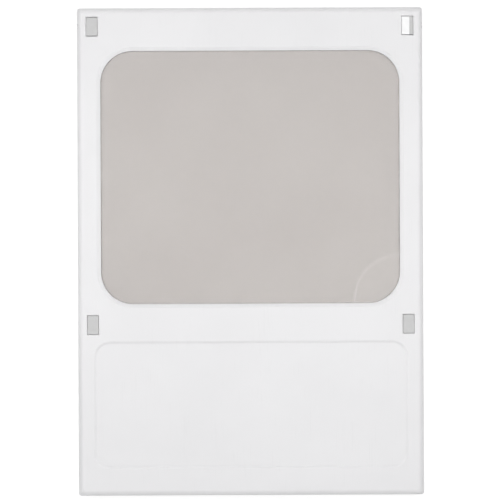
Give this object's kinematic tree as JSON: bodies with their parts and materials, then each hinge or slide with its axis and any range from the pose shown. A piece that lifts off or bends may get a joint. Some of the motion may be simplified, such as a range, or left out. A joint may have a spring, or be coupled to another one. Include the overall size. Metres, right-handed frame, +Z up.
{
  "type": "sheet film negative carrier",
  "caption": "Hinged two-leaf carrier that holds sheet film flat between two glass panes, with a rounded gate, slots for hinge and register lugs, and a recessed label field.",
  "frame": {"origin": "centre of the outline, on the plane that the collar under the base leaf stands on", "axes": "+X to the right, +Y to the rear (hinge end), +Z up, out of the cover leaf's face"},
  "size_m": [0.1468, 0.2072, 0.01],
  "materials": {
    "white_plastic": "moulded, satin",
    "white_acetal": "moulded, smooth",
    "grey_acetal": "moulded, smooth",
    "pane_glass": "fine anti-reflection grain",
    "seal_rubber": "matt",
    "spring_steel": "rolled",
    "screw_steel": "turned",
    "pin_steel": "ground",
    "nickel": "nickel plated",
    "keeper_steel": "zinc plated"
  },
  "bodies": {
    "base": {"base_leaf": "white_plastic", "hinge_block_right": "white_acetal", "hinge_block_left": "grey_acetal", "hinge_spacer_right": "grey_acetal", "register_lug_left": "grey_acetal", "register_lug_right": "grey_acetal", "lower_glass": "pane_glass", "lower_gasket": "seal_rubber", "lower_clip_left_front": "spring_steel", "lower_clip_left_rear": "spring_steel", "lower_clip_right_front": "spring_steel", "lower_clip_right_rear": "spring_steel", "lower_clip_screws": "screw_steel", "hinge_block_screws": "screw_steel", "register_lug_screws": "screw_steel", "magnet_left": "nickel", "magnet_right": "nickel"},
    "cover": {"cover_leaf": "white_plastic", "upper_glass": "pane_glass", "upper_gasket": "seal_rubber", "upper_clip_screws": "screw_steel", "hinge_pin_left": "pin_steel", "hinge_pin_right": "pin_steel", "keeper_left": "keeper_steel", "keeper_right": "keeper_steel", "upper_clip_left_front": "spring_steel", "upper_clip_left_rear": "spring_steel", "upper_clip_right_front": "spring_steel", "upper_clip_right_rear": "spring_steel"}
  },
  "joints": [
    {"name": "cover_hinge", "type": "hinge", "parent": "base", "child": "cover", "pos_m": [0, 0.09575, 0.0083], "axis": [-1, 0, 0], "range_deg": [0, 90]}
  ]
}
